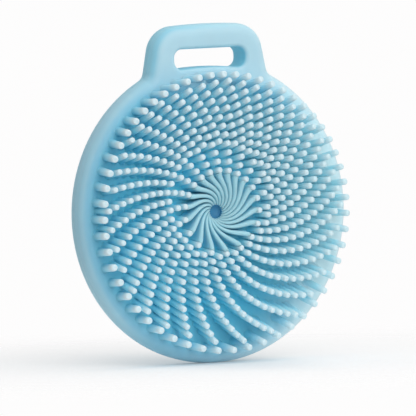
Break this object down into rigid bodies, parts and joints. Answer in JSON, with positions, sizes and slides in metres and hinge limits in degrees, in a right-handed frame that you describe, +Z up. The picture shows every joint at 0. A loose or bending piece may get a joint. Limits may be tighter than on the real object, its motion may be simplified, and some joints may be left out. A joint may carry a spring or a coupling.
{
  "type": "scalp massager brush",
  "caption": "Round silicone scalp massager brush: a swirl of vanes rises from a central pit and breaks up into curved rows of soft bristles; rounded rim, hanging loop with a finger slot.",
  "frame": {"origin": "middle of the disc on the flat back face", "axes": "+Z up towards the hanging loop, +X to the right seen from the bristle side, +Y out of the back face, so the bristles point towards -Y"},
  "size_m": [0.1, 0.0183, 0.112],
  "materials": {
    "body_silicone": "satin sky-blue silicone",
    "bristle_silicone": "satin sky-blue silicone",
    "stiffener_plastic": "plain moulded plastic"
  },
  "bodies": {
    "root": {"back_shell": "body_silicone", "front_shell": "body_silicone", "infill_row_01": "bristle_silicone", "infill_row_02": "bristle_silicone", "infill_row_03": "bristle_silicone", "infill_row_04": "bristle_silicone", "infill_row_05": "bristle_silicone", "infill_row_06": "bristle_silicone", "infill_row_07": "bristle_silicone", "infill_row_08": "bristle_silicone", "infill_row_09": "bristle_silicone", "infill_row_10": "bristle_silicone", "infill_row_11": "bristle_silicone", "infill_row_12": "bristle_silicone", "infill_row_13": "bristle_silicone", "infill_row_14": "bristle_silicone", "infill_row_15": "bristle_silicone", "infill_row_16": "bristle_silicone", "infill_row_17": "bristle_silicone", "infill_row_18": "bristle_silicone", "infill_row_19": "bristle_silicone", "infill_row_20": "bristle_silicone", "rim_bristles": "bristle_silicone", "stiffener_plate": "stiffener_plastic", "swirl_arm_01": "bristle_silicone", "swirl_arm_02": "bristle_silicone", "swirl_arm_03": "bristle_silicone", "swirl_arm_04": "bristle_silicone", "swirl_arm_05": "bristle_silicone", "swirl_arm_06": "bristle_silicone", "swirl_arm_07": "bristle_silicone", "swirl_arm_08": "bristle_silicone", "swirl_arm_09": "bristle_silicone", "swirl_arm_10": "bristle_silicone", "swirl_arm_11": "bristle_silicone", "swirl_arm_12": "bristle_silicone", "swirl_arm_13": "bristle_silicone", "swirl_arm_14": "bristle_silicone", "swirl_arm_15": "bristle_silicone", "swirl_arm_16": "bristle_silicone", "swirl_arm_17": "bristle_silicone", "swirl_arm_18": "bristle_silicone", "swirl_arm_19": "bristle_silicone", "swirl_arm_20": "bristle_silicone"}
  },
  "joints": []
}
